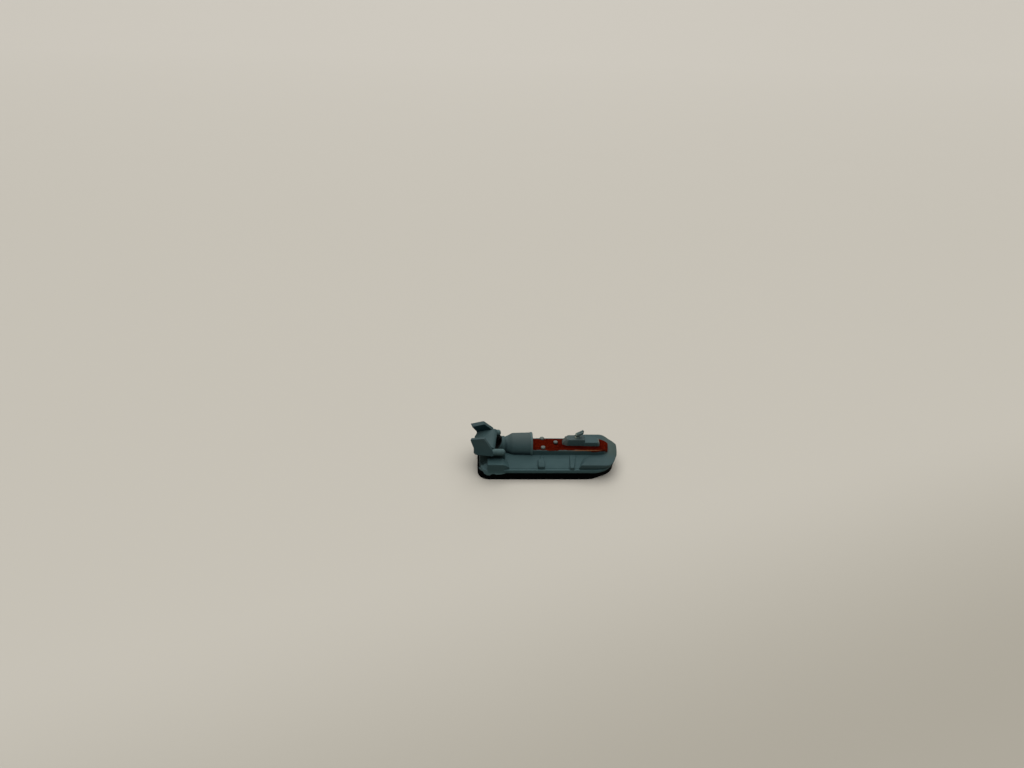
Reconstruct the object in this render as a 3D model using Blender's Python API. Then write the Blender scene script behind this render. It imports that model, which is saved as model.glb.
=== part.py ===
"""Small moulded toy hovercraft, bow at +X, port side at +Y, standing on its base at z = 0.

The origin is on the ground at the middle of the toy's box.  Tables are in millimetres; every
length that reaches Blender is in metres.
"""

import math

import bmesh
import bpy
from mathutils import Matrix, Vector

mm = 0.001
seam = 0.06  # the gap left where two pieces meet, in mm

# Side decks: the slope runs from the rim's inner edge up to the foot of the raised middle
slope_foot = (9.2, 3.56)  # y, z
slope_head = (3.85, 5.65)
hull_top = 5.73

# Engine, turned about one axis along X
engine_axis_z = 7.25

# Tail
boom_y = 5.93
boom_z = 8.2
boom_radius = 1.1
boom_rear_x = -17.9
fin_y = 6.4
fin_thickness = 1.25
fin_pivot = (-18.5, 8.4)  # x, z
fin_lean = math.radians(13.4)
fin_toe = math.radians(9.0)
pylon_outer_y = 5.5
pylon_inner_y = 4.3

# Cabin and gun
cabin_roof = 10.25
gun_x = 10.95
gun_elevation = math.radians(29.0)
pintle_height = 0.5

# Facing the bow, port is +Y and starboard is -Y; the starboard boom is the longer one, and the
# port pod is the lower one
sides = (
    # name, sign of y, front end of the boom, height of the pod against the starboard one, how
    # far the outer edge of the stern block's top sags
    ("port", 1, -14.7, 0.45, 1.2),
    ("starboard", -1, -13.6, 1.0, 0.0),
)

paints = {
    # name: (colour, roughness)
    "grey": ((0.040, 0.080, 0.083, 1.0), 0.55),
    "pale": ((0.16, 0.18, 0.17, 1.0), 0.55),
    "black": ((0.003, 0.003, 0.003, 1.0), 0.6),
    "red": ((0.052, 0.004, 0.002, 1.0), 0.65),
}


def clear_scene():
    for item in list(bpy.data.objects):
        bpy.data.objects.remove(item, do_unlink=True)


def paint(part_name, kind):
    """A material of its own for one sub-part."""
    colour, roughness = paints[kind]
    material = bpy.data.materials.new(part_name)
    material.use_nodes = True
    shader = material.node_tree.nodes["Principled BSDF"]
    shader.inputs["Base Color"].default_value = colour
    shader.inputs["Roughness"].default_value = roughness
    shader.inputs["Metallic"].default_value = 0.0
    return material


def finish(name, body, kind, smooth=False):
    """Turns a bmesh in millimetres into an object in metres with its own material."""
    bmesh.ops.scale(body, vec=(mm, mm, mm), verts=body.verts)
    bmesh.ops.recalc_face_normals(body, faces=body.faces)
    mesh = bpy.data.meshes.new(name)
    body.to_mesh(mesh)
    body.free()
    if smooth:
        mesh.shade_smooth()
        mesh.set_sharp_from_angle(angle=math.radians(35))
    item = bpy.data.objects.new(name, mesh)
    bpy.context.collection.objects.link(item)
    mesh.materials.append(paint(name, kind))
    return item


def hide(cutter):
    cutter.hide_render = True
    cutter.display_type = "WIRE"
    return cutter


def combine(item, other, operation="DIFFERENCE"):
    """Cuts the hidden body from the item, or joins it on."""
    modifier = item.modifiers.new(operation.lower() + "_" + other.name, "BOOLEAN")
    modifier.operation = operation
    modifier.solver = "EXACT"
    modifier.object = other


def rounded(corners, place, segments=3):
    """A closed loop of points from (a, b, cut) corners, each rounded over its cut."""
    sheet = bmesh.new()
    verts = [sheet.verts.new((a, b, 0)) for a, b, cut in corners]
    sheet.faces.new(verts)
    for vert, (a, b, cut) in zip(verts, corners):
        if cut:
            bmesh.ops.bevel(
                sheet,
                geom=[vert],
                offset=cut,
                segments=segments,
                profile=0.5,
                affect="VERTICES",
            )
    sheet.faces.ensure_lookup_table()
    points = [place(vert.co.x, vert.co.y) for vert in sheet.faces[0].verts]
    sheet.free()
    return points


def level(half_plan, height, segments=3):
    """A level of a body, from its half plan given from stern to bow."""
    starboard = [(x, -y, cut) for x, y, cut in half_plan]
    port = [(x, y, cut) for x, y, cut in reversed(half_plan)]
    return rounded(starboard + port, lambda x, y: Vector((x, y, height)), segments)


def loft(loops):
    """A closed body through loops of equally many points, capped at both ends."""
    body = bmesh.new()
    rings = []
    for points in loops:
        verts = [body.verts.new(point) for point in points]
        rings.append([body.edges.new(pair) for pair in zip(verts, verts[1:] + verts[:1])])
    for lower, upper in zip(rings, rings[1:]):
        bmesh.ops.bridge_loops(body, edges=lower + upper)
    for end in (rings[0], rings[-1]):
        bmesh.ops.contextual_create(body, geom=end)
    return body


def soften(body, width, segments=1, least_angle=20.0):
    """Rounds every edge sharper than the least angle, in degrees."""
    edges = [
        edge
        for edge in body.edges
        if len(edge.link_faces) == 2
        and edge.calc_face_angle(0.0) > math.radians(least_angle)
    ]
    bmesh.ops.bevel(
        body,
        geom=edges,
        offset=width,
        segments=segments,
        profile=0.5,
        affect="EDGES",
        clamp_overlap=True,
    )
    return body


def turned(profile, steps, centre):
    """Turns (x, radius) points about a line along X through the centre."""
    body = bmesh.new()
    verts = [body.verts.new((x, radius, 0.0)) for x, radius in profile]
    edges = [body.edges.new(pair) for pair in zip(verts, verts[1:])]
    bmesh.ops.spin(
        body,
        geom=verts + edges,
        axis=(1, 0, 0),
        cent=(0, 0, 0),
        angle=math.tau,
        steps=steps,
        use_merge=True,
    )
    bmesh.ops.remove_doubles(body, verts=body.verts, dist=0.001)
    bmesh.ops.translate(body, vec=centre, verts=body.verts)
    return body


def trim(body, place, inward):
    """Cuts the body flat, keeps the side that the inward direction points to and closes it."""
    result = bmesh.ops.bisect_plane(
        body,
        geom=body.verts[:] + body.edges[:] + body.faces[:],
        plane_co=place,
        plane_no=inward,
        clear_inner=True,
    )
    rim = [item for item in result["geom_cut"] if isinstance(item, bmesh.types.BMEdge)]
    bmesh.ops.edgeloop_fill(body, edges=rim)
    return body


def box(low, high):
    """A box from its low corner to its high corner."""
    body = bmesh.new()
    bmesh.ops.create_cube(body, size=1.0)
    low, high = Vector(low), Vector(high)
    bmesh.ops.scale(body, vec=high - low, verts=body.verts)
    bmesh.ops.translate(body, vec=(low + high) / 2, verts=body.verts)
    return body


def make_base():
    """Black plinth: upright sides, and a bow that rakes forward as it rises."""
    levels = (
        (0.0, ((-22.6, 9.88, 3.8), (15.1, 9.88, 1.6), (21.7, 5.7, 2.5), (23.4, 1.0, 0.8))),
        (0.12, ((-22.7, 9.96, 3.9), (15.2, 9.96, 1.6), (21.8, 5.8, 2.5), (23.5, 1.0, 0.8))),
        (2.45, ((-22.76, 9.88, 4.0), (17.6, 9.86, 2.0), (21.7, 7.0, 2.0), (24.2, 1.5, 1.0))),
    )
    body = loft([level(half, z, 4) for z, half in levels])
    return finish("skirt_base", body, "black")


def make_hull():
    """Grey hull: a low rim all round and the decks that slope up to the middle."""
    foot_y, foot_z = slope_foot
    head_y, head_z = slope_head
    levels = (
        (2.51, ((-22.2, 9.78, 3.6), (18.0, 9.78, 2.0), (21.7, 7.0, 2.0), (24.1, 1.5, 1.0))),
        (3.4, ((-22.1, 9.78, 5.4), (18.8, 9.78, 1.6), (21.85, 7.2, 2.0), (24.2, 1.6, 1.0))),
        (3.54, ((-21.95, 9.66, 5.7), (18.8, 9.66, 1.6), (21.75, 7.1, 2.0), (24.1, 1.6, 1.0))),
        (foot_z, ((-21.7, foot_y, 5.4), (18.3, foot_y, 1.7), (21.4, 6.7, 2.0), (23.6, 1.4, 1.0))),
        (head_z, ((-20.6, head_y, 1.0), (16.0, head_y, 0.8), (18.4, 3.0, 0.8), (20.0, 1.2, 0.6))),
        (hull_top, ((-20.5, 3.7, 0.8), (15.8, 3.7, 0.7), (18.2, 2.8, 0.7), (19.8, 1.1, 0.5))),
    )
    return finish("hull", loft([level(half, z, 4) for z, half in levels]), "grey")


def make_bow_deck(hull):
    """Raised bow deck; its upright edges overhang the rim and its front runs aft to starboard."""
    rear_x = 11.5
    skew_from, skew = 19.0, 0.08
    half_plans = (
        # height, then each corner behind the next: x, half width, cut
        (3.66, ((11.6, 9.2), (18.8, 9.2), (21.7, 6.6), (23.1, 3.9), (24.15, 1.5))),
        (4.6, ((rear_x, 9.46), (20.3, 9.46), (22.4, 7.3), (23.9, 4.5), (24.85, 2.0))),
        (5.22, ((rear_x, 9.58), (20.9, 9.58), (22.75, 7.2), (24.15, 4.6), (25.05, 2.2))),
        (5.42, ((11.7, 9.36), (20.8, 9.36), (22.55, 7.0), (23.95, 4.5), (24.85, 2.1))),
        (5.68, ((12.2, 4.4), (20.0, 4.2), (21.6, 3.4), (22.6, 2.6), (23.3, 1.4))),
    )
    cuts = (0.8, 1.4, 0.5, 0.5, 1.0)
    loops = []
    for height, corners in half_plans:
        half = [(x, y, cut) for (x, y), cut in zip(corners, cuts)]
        loops.append(level(half, height, 4))
    for points in loops:
        for point in points:
            if point.x > skew_from:
                point.x += skew * (point.y - 2)
    room = box((rear_x - seam, -12, 3.6), (30, 12, 9))
    combine(hull, hide(finish("room_for_bow_deck", room, "grey")))
    return finish("bow_deck", loft(loops), "grey")


deck_stations = (
    # x, half width, height of the edge, rise of the crown
    (-4.18, 3.72, 7.38, 0.68),
    (12.0, 3.72, 7.38, 0.66),
    (17.8, 3.70, 7.36, 0.58),
    (19.3, 3.45, 7.22, 0.42),
    (20.4, 3.0, 6.92, 0.26),
    (21.3, 2.5, 6.6, 0.12),
    (21.6, 2.25, 6.4, 0.05),
)
deck_edge = 0.3  # width of the grey edge beside the red
red_depth = 0.3


def crown(station, lift):
    """The crowned top of one cross-section, from the starboard edge to the port edge."""
    x, half, edge_z, rise = station
    top = (
        (-half + deck_edge, edge_z + 0.03 + lift),
        (-half * 0.5, edge_z + rise * 0.75 + lift),
        (0.0, edge_z + rise + lift),
    )
    return top + tuple((-y, z) for y, z in reversed(top[:2]))


def place_section(x, points):
    """Stands a cross-section at x; the front of the deck runs slightly aft to starboard."""
    skew = 0.15 if x > 21 else 0.0
    return [Vector((x + skew * y, y, z)) for y, z in points]


def deck_body(lift):
    """The whole raised middle: foot, walls, rounded edges and crowned top."""
    loops = []
    for station in deck_stations:
        x, half, edge_z, rise = station
        side = (
            (-half - 0.1, hull_top + seam),
            (-half, edge_z - 0.3 + lift),
            (-half + 0.1, edge_z - 0.08 + lift),
        )
        port = tuple((-y, z) for y, z in reversed(side))
        loops.append(place_section(x, side + crown(station, lift) + port))
    return loft(loops)


def red_body(grow, lift):
    """The red panel let into the crown; grown and lifted it is the recess for itself."""
    loops = []
    for station in deck_stations[:-1]:
        x, half, edge_z, rise = station
        if station is deck_stations[0]:
            x -= 20 * grow
        edge = half - deck_edge + grow
        top = [(math.copysign(edge, y) if abs(y) > half * 0.6 else y, z)
               for y, z in crown(station, lift)]
        low = edge_z - red_depth - grow
        loops.append(place_section(x, [(-edge, low)] + top + [(edge, low)]))
    return loft(loops)


def make_middle():
    """Raised middle under the deck, and the red panel let into its top."""
    walls = finish("superstructure", deck_body(0.0), "grey")
    combine(walls, hide(finish("room_for_red_deck", red_body(seam, 1.0), "grey")))
    finish("red_deck", red_body(0.0, 0.0), "red")


def make_cabin(deck_room):
    """Cabin on the deck: a tall narrow rear part and a lower, wider front part."""
    rear_levels = (
        # z, rear x, half width
        (7.5, 5.8, 1.66),
        (8.5, 5.85, 1.64),
        (9.2, 6.3, 1.62),
        (9.95, 7.0, 1.6),
        (cabin_roof, 7.45, 1.4),
    )
    front_levels = (
        # z, front x, half width
        (7.5, 18.6, 1.78),
        (8.9, 18.4, 1.76),
        (9.32, 17.85, 1.55),
    )
    rear_loops = [
        level(((rear, half - 0.75, 0.2), (max(7.25, rear + 0.4), half, 0.2), (13.15, half, 0.1)), z)
        for z, rear, half in rear_levels
    ]
    front_loops = [
        level(((13.21, half, 0.1), (front, half, 0.8)), z) for z, front, half in front_levels
    ]
    for name, loops in (("cabin_rear", rear_loops), ("cabin_front", front_loops)):
        combine(finish(name, loft(loops), "grey"), deck_room)


def make_studs(deck_room):
    """Three round studs on the deck behind the cabin."""
    studs = (
        # name, x, y, top
        ("post_port", -0.75, 2.75, 8.3),
        ("post_starboard", -0.75, -2.6, 8.28),
        ("post_middle", 3.72, 0.2, 8.62),
    )
    for name, x, y, top in studs:
        body = bmesh.new()
        bmesh.ops.create_cone(
            body, cap_ends=True, segments=20, radius1=0.86, radius2=0.8, depth=top - 7.0
        )
        bmesh.ops.translate(body, vec=(x, y, (top + 7.0) / 2), verts=body.verts)
        combine(finish(name, body, "pale", smooth=True), deck_room)


def make_engine():
    """Drum with a lip round its intake, sitting on the hull, and a hub inside the intake."""
    drum = (
        # x, radius
        (-12.9, 0.0),
        (-12.9, 2.8),
        (-12.7, 3.06),
        (-11.6, 3.7),
        (-10.9, 3.95),
        (-8.0, 4.08),
        (-5.09, 4.15),
        (-5.09, 3.0),
        (-8.0, 3.0),
        (-8.0, 0.0),
    )
    lip = (
        (-5.03, 3.02),
        (-5.03, 4.22),
        (-4.93, 4.3),
        (-4.5, 4.3),
        (-4.26, 4.06),
        (-4.26, 3.45),
        (-4.5, 3.14),
        (-5.03, 3.02),
    )
    hub = ((-7.94, 0.0), (-7.94, 1.15), (-6.5, 1.0), (-5.9, 0.75), (-5.45, 0.0))
    for name, profile, foot in (("engine_drum", drum, hull_top + seam),
                                ("intake_lip", lip, hull_top + seam),
                                ("intake_hub", hub, None)):
        body = turned(profile, 32, (0, 0, engine_axis_z))
        if foot:
            trim(body, (0, 0, foot), (0, 0, 1))
        finish(name, body, "grey", smooth=True)


def make_exhaust():
    """Pipe behind the drum, a flange round it and the outlet, open to the rear."""
    pipe = ((-13.45, 0.0), (-13.45, 2.5), (-12.96, 2.5), (-12.96, 0.0))
    flange = (
        (-14.5, 0.0),
        (-14.5, 2.8),
        (-14.35, 2.96),
        (-13.75, 2.96),
        (-13.51, 2.8),
        (-13.51, 0.0),
    )
    outlet = (
        (-14.56, 0.0),
        (-14.56, 2.72),
        (-17.0, 2.5),
        (-17.0, 2.2),
        (-14.9, 2.15),
        (-14.9, 0.0),
    )
    for name, profile in (
        ("exhaust_pipe", pipe),
        ("exhaust_flange", flange),
        ("exhaust_outlet", outlet),
    ):
        body = turned(profile, 32, (0, 0, engine_axis_z))
        trim(body, (0, 0, hull_top + seam), (0, 0, 1))
        if profile is outlet:
            trim(body, (-14.75, 0, 11.0), (6.0, 0, -1.55))  # its end is cut at a slant
        finish(name, body, "grey", smooth=True)


def sponson_body(sign, sag, grow):
    """Side block at the stern; its top falls away forward and, by the sag, outward."""
    loops = []
    for y, drop in ((9.3 + grow, sag), (pylon_outer_y + seam - grow, 0.0)):
        outline = (
            (-19.5 - grow, 3.0 - grow, 0),
            (-12.5 + grow, 3.0 - grow, 0),
            (-12.4 + grow, 4.3 - drop / 2 + grow, 0),
            (-14.1 + grow, 5.53 - drop + grow, 0),
            (-19.5 - grow, 5.53 - drop + grow, 0),
        )
        loops.append(rounded(outline, lambda x, z: Vector((x, sign * y, z))))
    return loft(loops)


def make_sponson(side, sign, sag, hull):
    room = sponson_body(sign, sag, seam)
    combine(hull, hide(finish("room_for_sponson_" + side, room, "grey")))
    return finish("sponson_" + side, soften(sponson_body(sign, sag, 0.0), 0.2), "grey")


def make_pylon(side, sign, front_x, hull):
    """Upright wall that carries a boom and its fin, lower under the fin."""
    rear_x, step_x, foot = -22.0, boom_rear_x + seam, 4.2
    under_boom = boom_z - boom_radius - seam
    under_fin = 6.75
    outline = (
        (rear_x, foot, 0),
        (front_x, foot, 0),
        (front_x, under_boom, 0),
        (step_x, under_boom, 0),
        (step_x, under_fin, 0),
        (rear_x, under_fin, 0),
    )
    reach = (sign * pylon_inner_y, sign * pylon_outer_y)
    wall = loft([rounded(outline, lambda x, z: Vector((x, y, z))) for y in reach])
    low, high = sorted((reach[0] - sign * seam / 2, reach[1] + sign * seam / 2))
    room = box((rear_x - seam / 2, low, foot - seam / 2), (front_x + seam / 2, high, 9))
    combine(hull, hide(finish("room_for_pylon_" + side, room, "grey")))
    return finish("pylon_" + side, wall, "grey")


def make_boom(side, sign, front_x):
    """Round boom in front of a fin, with a rounded front end."""
    nose = 0.9
    profile = [(boom_rear_x, 0.0), (boom_rear_x, boom_radius)]
    for angle in (0.0, 22.5, 45.0, 67.5):
        turn = math.radians(angle)
        profile.append((front_x - nose + nose * math.sin(turn), boom_radius * math.cos(turn)))
    profile.append((front_x, 0.0))
    body = turned(profile, 20, (0, sign * boom_y, boom_z))
    return finish("boom_" + side, body, "grey", smooth=True)


def make_fin(side, sign):
    """Swept fin, leaning in at its tip and toed in at its rear."""
    outline = (
        # x, z, before it leans and turns
        (-25.22, 12.4, 0),
        (-24.0, 9.4, 0),
        (-24.0, 7.85, 0),
        (-23.2, 7.05, 0),
        (-18.0, 7.05, 0),
        (-18.0, 9.6, 0),
        (-17.3, 9.6, 0),
        (-20.75, 13.15, 0),
    )
    half = fin_thickness / 2
    body = loft([rounded(outline, lambda x, z: Vector((x, y, z))) for y in (-half, half)])
    soften(body, 0.15)
    pivot = Vector((fin_pivot[0], 0, fin_pivot[1]))
    place = (
        Matrix.Translation((0, sign * fin_y, 0))
        @ Matrix.Translation(pivot)
        @ Matrix.Rotation(sign * fin_toe, 4, "Z")
        @ Matrix.Rotation(sign * fin_lean, 4, "X")
        @ Matrix.Translation(-pivot)
    )
    bmesh.ops.transform(body, matrix=place, verts=body.verts)
    return finish("fin_" + side, body, "grey")


def make_stabiliser():
    """Tailplane between the fins, tapering to its trailing edge."""
    stations = (
        # x, lower z, upper z, half span
        (-23.7, 9.0, 9.15, 2.3),
        (-22.9, 8.75, 9.32, 4.3),
        (-20.5, 8.55, 9.85, 4.7),
        (-18.4, 8.55, 10.05, 4.78),
        (-17.2, 8.65, 9.75, 4.78),
        (-16.5, 8.95, 9.2, 4.78),
    )
    loops = []
    for x, low, high, half in stations:
        corners = ((-half, low), (half, low), (half, high), (-half, high))
        loops.append([Vector((x, y, z)) for y, z in corners])
    return finish("stabiliser", loft(loops), "grey")


def make_gun():
    """Twin gun on a pintle in the cabin roof; its origin is on the pintle's axis."""
    low = cabin_roof + seam
    profile = (
        # height, radius
        (0.0, 0.0),
        (0.0, 0.95),
        (0.28, 0.92),
        (0.4, 0.5),
        (pintle_height, 0.45),
        (pintle_height, 0.0),
    )
    pintle = turned(profile, 20, (0, 0, 0))
    upright = Matrix.Translation((gun_x, 0, low)) @ Matrix.Rotation(-math.pi / 2, 4, "Y")
    bmesh.ops.transform(pintle, matrix=upright, verts=pintle.verts)
    finish("gun_pintle", pintle, "grey", smooth=True)

    seat = low + pintle_height + seam
    tilt = Matrix.Translation((-0.5, 0, 0.25)) @ Matrix.Rotation(-gun_elevation, 4, "Y")
    foot = finish("gun", box((-0.35, -0.35, 0), (0.4, 0.35, 0.6)), "grey")
    foot.location = Vector((gun_x, 0, seat)) * mm
    bars = (
        # name, y, start, end, half width, half height
        ("gun_block", 0.13, 0.0, 1.5, 0.62, 0.47),
        ("gun_barrel_port", 0.55, 0.1, 2.75, 0.36, 0.36),
        ("gun_barrel_starboard", -0.28, 0.15, 2.5, 0.36, 0.33),
    )
    for name, y, start, end, half_width, half_height in bars:
        bar = box((start, y - half_width, -half_height), (end, y + half_width, half_height))
        soften(bar, 0.12)
        bmesh.ops.transform(bar, matrix=tilt, verts=bar.verts)
        item = hide(finish(name, bar, "grey"))
        item.location = foot.location
        combine(foot, item, "UNION")


def slope_height(y):
    """Height of the side deck at a distance from the middle."""
    (foot_y, foot_z), (head_y, head_z) = slope_foot, slope_head
    share = max(0.0, (foot_y - abs(y)) / (foot_y - head_y))
    return foot_z + share * (head_z - foot_z)


def make_fitting(name, stations, sign, share):
    """A body down the side deck, through stations of (y, middle x, half width, height)."""
    loops = []
    for y, centre, half, high in stations:
        low = slope_height(y) + seam
        top = low + high * share
        corner = min(0.3, 0.6 * (top - low))
        corners = (
            (centre - half, low, 0),
            (centre + half, low, 0),
            (centre + half, top, corner),
            (centre - half, top, corner),
        )
        loops.append(rounded(corners, lambda x, z: Vector((x, sign * y, z))))
    return finish(name, loft(loops), "grey")


def make_side_fittings(side, sign, pod_share):
    """A bottle-shaped pod and a widening strap across each side deck."""
    pod = (
        # y, middle x, half width, height
        (4.15, -1.45, 0.5, 0.25),
        (5.4, -1.5, 0.55, 0.35),
        (5.95, -1.75, 1.0, 0.6),
        (6.4, -1.78, 1.12, 0.75),
        (8.6, -1.78, 1.12, 0.95),
        (9.0, -1.75, 0.9, 0.8),
    )
    strap = (
        (4.0, 8.98, 0.92, 0.22),
        (6.5, 8.8, 0.8, 0.5),
        (9.2, 8.6, 0.7, 0.85),
        (9.52, 8.6, 0.62, 0.85),
    )
    make_fitting("side_pod_" + side, pod, sign, pod_share)
    make_fitting("side_strap_" + side, strap, sign, 1.0)


def main():
    clear_scene()
    make_base()
    hull = make_hull()
    make_bow_deck(hull)
    make_middle()
    deck_room = hide(finish("room_over_deck", deck_body(seam), "grey"))
    make_cabin(deck_room)
    make_studs(deck_room)
    make_engine()
    make_exhaust()
    make_stabiliser()
    make_gun()
    for side, sign, boom_front_x, pod_share, sag in sides:
        make_sponson(side, sign, sag, hull)
        make_pylon(side, sign, boom_front_x - 0.2, hull)
        make_boom(side, sign, boom_front_x)
        make_fin(side, sign)
        make_side_fittings(side, sign, pod_share)


main()
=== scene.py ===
# Small moulded toy hovercraft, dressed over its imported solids.
# Sizes are in millimetres; +X is the bow, +Y is port, the floor is at zero.
import math

import bmesh
import bpy
from mathutils import Matrix, Vector


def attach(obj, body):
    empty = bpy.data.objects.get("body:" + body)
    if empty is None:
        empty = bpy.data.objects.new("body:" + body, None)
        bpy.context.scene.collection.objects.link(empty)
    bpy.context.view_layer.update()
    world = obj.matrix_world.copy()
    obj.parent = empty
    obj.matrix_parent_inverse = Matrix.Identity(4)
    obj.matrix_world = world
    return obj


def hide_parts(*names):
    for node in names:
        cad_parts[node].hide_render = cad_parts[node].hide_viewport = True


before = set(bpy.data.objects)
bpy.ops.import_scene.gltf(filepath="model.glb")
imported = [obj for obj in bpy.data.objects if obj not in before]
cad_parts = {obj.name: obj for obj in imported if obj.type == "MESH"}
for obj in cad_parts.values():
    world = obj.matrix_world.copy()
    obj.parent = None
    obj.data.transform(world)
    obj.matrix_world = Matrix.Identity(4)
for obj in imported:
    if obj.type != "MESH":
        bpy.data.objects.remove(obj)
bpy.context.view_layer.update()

mm = 0.001


# Camera

cameraSpec = {
    "lens": 27.07,
    "sensor": 36.0,
    "frame": (1024, 768),
    "toyPixel": (543.6, 462.325),  # where the middle of the toy's foot shows
    "depth": 264.8,  # from the lens to the toy, along the view
    "pitch": 29.1,
    "yaw": 3.179,
    "roll": 1.889,
}


def addCamera(spec):
    pitch, yaw, roll = (math.radians(spec[k]) for k in ("pitch", "yaw", "roll"))
    turn = (
        Matrix.Rotation(-yaw, 3, "Z")
        @ Matrix.Rotation(math.pi / 2 - pitch, 3, "X")
        @ Matrix.Rotation(roll, 3, "Z")
    )
    width, height = spec["frame"]
    perPixel = spec["sensor"] / spec["lens"] / width
    column, row = spec["toyPixel"]
    ray = Vector(((column - width / 2) * perPixel, (height / 2 - row) * perPixel, -1))
    camera = bpy.data.objects.new("camera", bpy.data.cameras.new("camera"))
    camera.data.lens = spec["lens"]
    camera.data.sensor_width = spec["sensor"]
    camera.data.clip_start = 0.005
    camera.data.clip_end = 50
    place = turn @ ray * -spec["depth"] * mm
    camera.matrix_world = Matrix.Translation(place) @ turn.to_4x4()
    bpy.context.collection.objects.link(camera)
    bpy.context.scene.camera = camera


addCamera(cameraSpec)
print("camera set")


# Shaders


class Wire:
    # An output socket that takes part in sums
    def __init__(self, finish, socket):
        self.finish, self.socket = finish, socket

    def __add__(self, other):
        return self.finish.sum("ADD", self, other)

    def __radd__(self, other):
        return self.finish.sum("ADD", other, self)

    def __sub__(self, other):
        return self.finish.sum("SUBTRACT", self, other)

    def __rsub__(self, other):
        return self.finish.sum("SUBTRACT", other, self)

    def __mul__(self, other):
        return self.finish.sum("MULTIPLY", self, other)

    def __rmul__(self, other):
        return self.finish.sum("MULTIPLY", other, self)

    def __truediv__(self, other):
        return self.finish.sum("DIVIDE", self, other)

    def size(self):
        return self.finish.sum("ABSOLUTE", self)

    def past(self, edge, blur):
        # 0 below the edge and 1 above it, over a blur this wide
        return self.finish.sum("ADD", (self - edge) / blur, 0.5, clamp=True)

    def within(self, low, high):
        # 1 between two such edges
        return self.past(*low) * (1 - self.past(*high))


class Finish:
    # A material under construction; its place is in millimetres
    def __init__(self, name):
        self.material = bpy.data.materials.new(name)
        self.material.use_nodes = True
        self.tree = self.material.node_tree
        self.shader = self.tree.nodes["Principled BSDF"]
        self.place = self.node(
            "ShaderNodeMapping",
            {"vector_type": "POINT"},
            {"Vector": self.node("ShaderNodeTexCoord", output="Object"), "Scale": (1 / mm,) * 3},
        )
        self.x, self.y, self.z = (
            self.node("ShaderNodeSeparateXYZ", None, {"Vector": self.place}, k) for k in "XYZ"
        )
        self.side = self.y.size()  # how far out to either side

    def node(self, kind, settings=None, inputs=None, output=0):
        made = self.tree.nodes.new(kind)
        for key, value in (settings or {}).items():
            setattr(made, key, value)
        for key, value in (inputs or {}).items():
            self.feed(made.inputs[key], value)
        return Wire(self, made.outputs[output])

    def sum(self, operation, first, second=0.0, clamp=False):
        settings = {"operation": operation, "use_clamp": clamp}
        return self.node("ShaderNodeMath", settings, {0: first, 1: second})

    def feed(self, socket, value):
        if isinstance(value, Wire):
            self.tree.links.new(value.socket, socket)
        elif socket.type == "RGBA":
            socket.default_value = (*value, 1.0)
        else:
            socket.default_value = value

    def set(self, **values):
        for key, value in values.items():
            self.feed(self.shader.inputs[key.replace("_", " ")], value)

    def noise(self, scale, detail, roughness, offset=(0, 0, 0), stretch=(1, 1, 1)):
        at = self.node(
            "ShaderNodeMapping", None, {"Vector": self.place, "Location": offset, "Scale": stretch}
        )
        return self.node(
            "ShaderNodeTexNoise", None,
            {"Vector": at, "Scale": scale, "Detail": detail, "Roughness": roughness},
        )

    def blend(self, mask, low, high):
        return self.node(
            "ShaderNodeMix", {"data_type": "RGBA"}, {0: mask, 6: low, 7: high}, output=2
        )

    def bump(self, height, strength, distance):
        return self.node(
            "ShaderNodeBump", None,
            {"Height": height, "Strength": strength, "Distance": distance * mm},
        )


greySpec = {
    "base": (0.0345, 0.066, 0.069),
    "dark": (0.0245, 0.051, 0.0545),
    "worn": (0.066, 0.092, 0.090),
    "high": (0.056, 0.074, 0.072),  # painted sheen: paler on the highest parts, where they catch more light
    # how a piece's grey differs in red, green and blue
    "slopeTone": (1.1, 1.1, 1.1),
    "bowTone": (0.92, 0.9, 0.9),
    "finTone": (0.78, 0.82, 0.84),
    "planeTone": (0.85, 0.88, 0.88),
    "drumTone": (1.22, 1.16, 1.18),
    # paler for the booms, intake lip and mould flash: partly rubbed wear, partly a painted
    # highlight
    "wornAndHighlitTone": (1.62, 1.5, 1.46),
    "gunTone": (1.5, 1.35, 1.3),
    # noises: scale, detail, roughness, offset, stretch
    "cloud": (0.22, 4.0, 0.55),
    "streak": (0.5, 3.0, 0.6, (3, 7, 1), (0.25, 1.6, 1.6)),
    "grain": (6.0, 2.0, 0.6, (11, 2, 5)),
    "specks": (1.3, 5.0, 0.75, (5, 13, 8)),
    # edges, here and in the finishes below: where one lies, and over how wide a blur
    "speckEdge": (0.66, 0.08),
    "shadeEdge": (0.5, 0.42),
    "sheenEdge": (10.0, 5.0),
    "peel": (0.5, 0.05),  # strength and depth of the bumps
    "roughness": 0.52,
    "gloss": 0.10,
}


def greyBody(finish, tone=(1, 1, 1), spec=greySpec):
    # Uneven teal grey: broad cloudiness, lengthwise streaks, fine grain, pale rubbed specks, and a
    # painted sheen that makes the highest parts paler
    base, dark, worn, high = (
        [part * share for part, share in zip(spec[name], tone)]
        for name in ("base", "dark", "worn", "high")
    )
    cloud, streak, grain = (finish.noise(*spec[name]) for name in ("cloud", "streak", "grain"))
    rub = finish.noise(*spec["specks"]).past(*spec["speckEdge"])
    shade = (cloud * 0.5 + streak * 0.3 + grain * 0.2).past(*spec["shadeEdge"])
    colour = finish.blend(shade, dark, base)
    # painted sheen: paler towards the highest parts
    colour = finish.blend(finish.z.past(*spec["sheenEdge"]) * 0.35, colour, high)
    colour = finish.blend(rub * 0.4, colour, worn)
    return colour, {"grain": grain, "streak": streak, "rub": rub}


def greySkin(finish, colour, grain, streak, rub, spec=greySpec):
    # Slight orange peel of thick paint, with chips where it has rubbed
    finish.set(
        Base_Color=colour,
        Normal=finish.bump(grain * 0.6 + streak * 0.6 - rub * 0.3, *spec["peel"]),
        Roughness=spec["roughness"] + grain * 0.2 - rub * 0.08,
        Specular_IOR_Level=spec["gloss"],
    )
    return finish.material


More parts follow.
